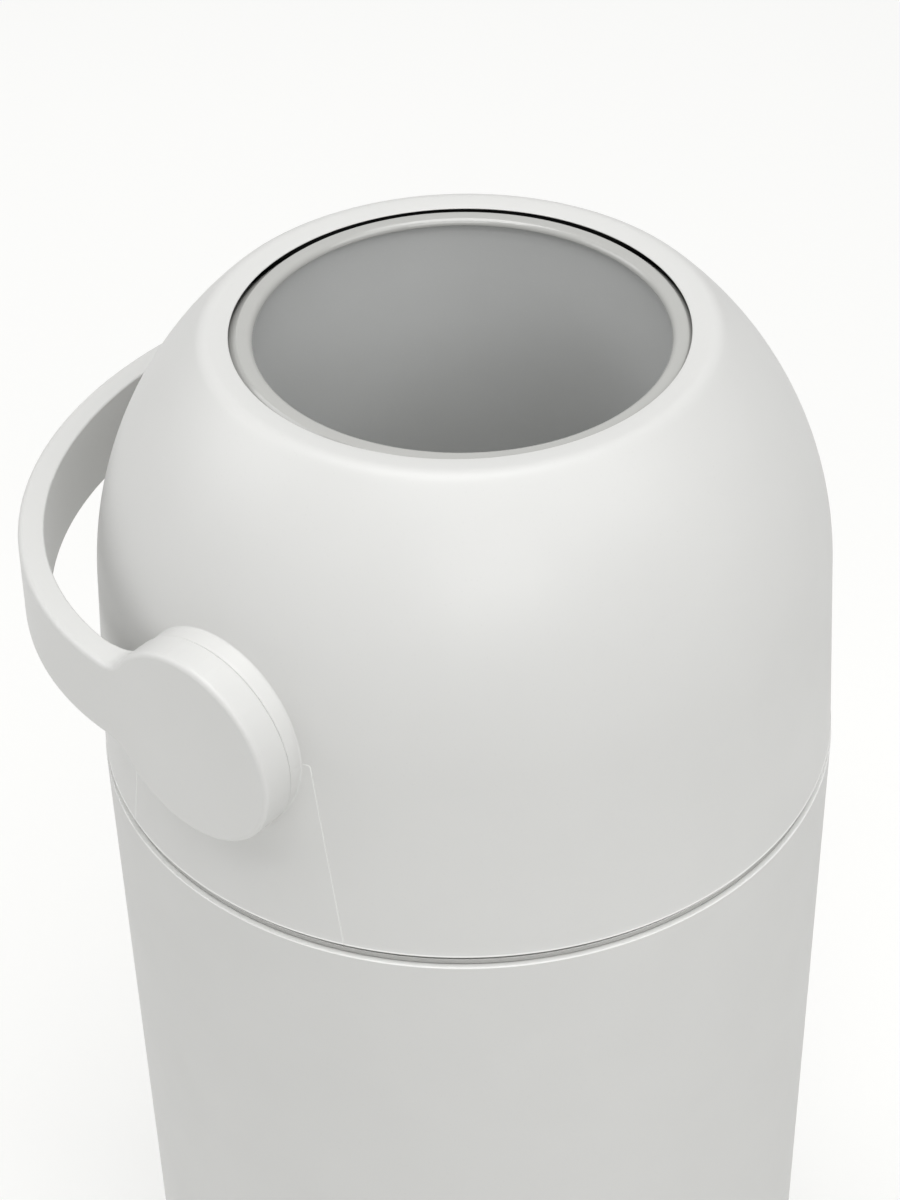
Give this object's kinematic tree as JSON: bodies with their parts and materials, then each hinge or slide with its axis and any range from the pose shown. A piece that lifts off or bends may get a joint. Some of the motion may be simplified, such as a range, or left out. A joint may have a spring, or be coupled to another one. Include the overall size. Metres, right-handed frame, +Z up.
{
  "type": "nappy bin",
  "caption": "Tall round nappy bin with a domed lift-off lid and a flip-over cup drum turned by a bail handle.",
  "frame": {"origin": "centre of the base pad's underside, where the bin meets the floor", "axes": "+Z up; the drum's pivot runs along X through z = 0.5306 m; the bail handle rests towards +Y, so the free side is -Y"},
  "size_m": [0.2908, 0.2962, 0.6252],
  "materials": {
    "lid_plastic": "satin white ABS, fine moulded grain",
    "body_plastic": "satin white polypropylene",
    "ring_plastic": "satin light grey",
    "tube_plastic": "matt pale grey, fine spark-eroded grain",
    "inner_plastic": "matt grey",
    "seal_rubber": "matt black",
    "pad_rubber": "matt grey",
    "screw_steel": "zinc plated"
  },
  "bodies": {
    "bin": {"body_shell": "body_plastic", "base_pad": "pad_rubber", "bag_ring": "ring_plastic"},
    "lid": {"lid_shell": "lid_plastic", "slot_cover_left": "lid_plastic", "slot_cover_right": "lid_plastic", "pivot_bush_left": "inner_plastic", "pivot_bush_right": "inner_plastic", "drum_cradle": "inner_plastic", "cradle_screw_1": "screw_steel", "cradle_screw_2": "screw_steel", "cradle_screw_3": "screw_steel", "cradle_screw_4": "screw_steel", "cradle_seal": "seal_rubber", "opening_seal": "seal_rubber", "lid_gasket": "seal_rubber"},
    "drum": {"drum_half_upper": "inner_plastic", "drum_half_lower": "inner_plastic", "drum_tube": "tube_plastic", "rim_ring_upper": "ring_plastic", "rim_ring_lower": "ring_plastic", "axle_left": "inner_plastic", "axle_right": "inner_plastic", "axle_screw_left": "screw_steel", "axle_screw_right": "screw_steel", "handle": "lid_plastic"},
    "piston": {"piston_body": "inner_plastic", "piston_cover": "inner_plastic", "piston_seal": "seal_rubber"}
  },
  "joints": [
    {"name": "lid_lift", "type": "slide", "parent": "bin", "child": "lid", "axis": [0, 0, 1], "range_m": [0, 0.15]},
    {"name": "handle_flip", "type": "hinge", "parent": "lid", "child": "drum", "pos_m": [0, 0, 0.5306], "axis": [1, 0, 0], "range_deg": [0, 178]},
    {"name": "piston_slide", "type": "slide", "parent": "drum", "child": "piston", "axis": [0, -0.0122, 0.9999], "range_m": [0, 0.1504]}
  ]
}
